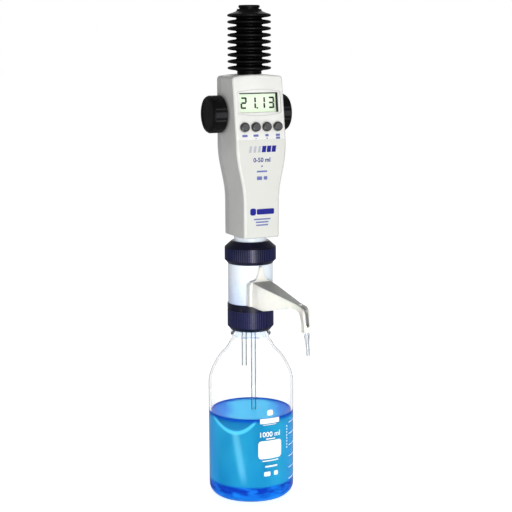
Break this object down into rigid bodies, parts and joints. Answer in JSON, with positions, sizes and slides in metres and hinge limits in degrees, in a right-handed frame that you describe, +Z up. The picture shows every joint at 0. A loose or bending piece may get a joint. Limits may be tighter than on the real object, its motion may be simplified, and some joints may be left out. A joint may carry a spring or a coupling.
{
  "type": "digital bottle-top burette",
  "caption": "Hand-driven digital burette on a glass reagent bottle: geared twin handwheels raise a piston under a bellows, ball valves feed a side nozzle.",
  "frame": {"origin": "centre of the bottle's base, on the bench", "axes": "+Z up along the bottle, piston and head swivel axis; -Y to the front, where the display and the nozzle face; +X to the user's right when facing the display"},
  "size_m": [0.101, 0.1993, 0.5776],
  "materials": {
    "glass": "clear",
    "liquid": "clear blue",
    "white_shell": "satin",
    "white_fluoro": "satin",
    "warm_white": "satin",
    "navy": "satin",
    "black": "satin",
    "black_rubber": "matt",
    "seal_rubber": "matt",
    "clear_tube": "clear",
    "grey_tube": "clear",
    "ceramic": "polished",
    "clear_window": "clear",
    "lcd": "satin",
    "lcd_dark": "satin",
    "board": "satin",
    "grey_button": "matt",
    "steel": "brushed",
    "brass": "satin",
    "cell": "satin",
    "acetal": "satin"
  },
  "bodies": {
    "bottle": {"bottle": "glass", "reagent": "liquid"},
    "valve_unit": {"valve_block": "white_fluoro", "bottle_seal": "seal_rubber", "filling_tube": "clear_tube", "return_tube": "clear_tube", "cylinder_seal": "seal_rubber", "nozzle_arm": "warm_white", "discharge_tube": "grey_tube", "discharge_tip": "clear_tube"},
    "mounting_nut": {"mounting_nut": "navy"},
    "coupling_nut": {"coupling_nut": "navy"},
    "inlet_valve": {"inlet_ball": "ceramic"},
    "outlet_valve": {"outlet_ball": "ceramic"},
    "head": {"front_housing": "white_shell", "rear_housing": "white_shell", "neck_sleeve": "white_fluoro", "glass_cylinder": "glass", "cylinder_cap": "acetal", "display_window": "clear_window", "display_module": "lcd", "display_digits": "lcd_dark", "circuit_board": "board", "batteries": "cell", "battery_tray": "black", "battery_contacts": "steel", "housing_screws": "steel", "left_bush": "acetal", "right_bush": "acetal", "gear_chassis": "steel", "rack_guide": "acetal", "bellows": "black_rubber", "bellows_clamp": "black"},
    "battery_cover": {"battery_cover": "white_shell"},
    "handwheels": {"left_handwheel": "black", "right_handwheel": "black", "handwheel_shaft": "steel", "shaft_pinion": "steel"},
    "layshaft": {"drive_gear": "brass", "rack_pinion": "steel", "layshaft": "steel"},
    "plunger": {"rack_rod": "acetal", "piston": "white_fluoro", "piston_seal": "seal_rubber", "bellows_cap": "black"},
    "view_button": {"view_button": "grey_button"},
    "minus_button": {"minus_button": "grey_button"},
    "plus_button": {"plus_button": "grey_button"},
    "reset_button": {"reset_button": "grey_button"}
  },
  "joints": [
    {"name": "instrument_lift", "type": "slide", "parent": "bottle", "child": "valve_unit", "axis": [0, 0, 1], "range_m": [0, 0.012]},
    {"name": "mounting_nut_turn", "type": "hinge", "parent": "valve_unit", "child": "mounting_nut", "pos_m": [0, 0, 0.2174], "axis": [0, 0, 1], "range_deg": [0, 1081]},
    {"name": "head_swivel", "type": "hinge", "parent": "valve_unit", "child": "head", "pos_m": [0, 0, 0.3], "axis": [0, 0, 1], "range_deg": [-170, 170]},
    {"name": "coupling_nut_turn", "type": "hinge", "parent": "valve_unit", "child": "coupling_nut", "pos_m": [0, 0, 0.294], "axis": [0, 0, 1], "range_deg": [0, 90]},
    {"name": "inlet_valve_lift", "type": "slide", "parent": "valve_unit", "child": "inlet_valve", "axis": [0, 0, 1], "range_m": [0, 0.001]},
    {"name": "outlet_valve_lift", "type": "slide", "parent": "valve_unit", "child": "outlet_valve", "axis": [0, 0, 1], "range_m": [0, 0.001]},
    {"name": "handwheel_turn", "type": "hinge", "parent": "head", "child": "handwheels", "pos_m": [0, 0.0085, 0.4545], "axis": [1, 0, 0], "range_deg": [-1425, 1045]},
    {"name": "layshaft_turn", "type": "hinge", "parent": "head", "child": "layshaft", "pos_m": [0, 0.0085, 0.4405], "axis": [1, 0, 0], "range_deg": [-290, 390]},
    {"name": "piston_slide", "type": "slide", "parent": "head", "child": "plunger", "axis": [0, 0, 1], "range_m": [-0.0408, 0.03], "deforming": ["bellows"]},
    {"name": "battery_cover_pull", "type": "slide", "parent": "head", "child": "battery_cover", "axis": [0, 1, 0], "range_m": [0, 0.02]},
    {"name": "view_press", "type": "slide", "parent": "head", "child": "view_button", "axis": [0, 0.9914, -0.1305], "range_m": [0, 0.0012], "stiffness_N_per_m": 400, "springref_m": -0.0005},
    {"name": "minus_press", "type": "slide", "parent": "head", "child": "minus_button", "axis": [0, 0.9914, -0.1305], "range_m": [0, 0.0012], "stiffness_N_per_m": 400, "springref_m": -0.0005},
    {"name": "plus_press", "type": "slide", "parent": "head", "child": "plus_button", "axis": [0, 0.9914, -0.1305], "range_m": [0, 0.0012], "stiffness_N_per_m": 400, "springref_m": -0.0005},
    {"name": "reset_press", "type": "slide", "parent": "head", "child": "reset_button", "axis": [0, 0.9914, -0.1305], "range_m": [0, 0.0012], "stiffness_N_per_m": 400, "springref_m": -0.0005}
  ],
  "couplings": [
    {"joint": "mounting_nut_turn", "follows": "instrument_lift", "rad_per_m": 1570.8},
    {"joint": "layshaft_turn", "follows": "handwheel_turn", "ratio": -0.27273},
    {"joint": "piston_slide", "follows": "handwheel_turn", "m_per_rad": 0.0016364}
  ]
}
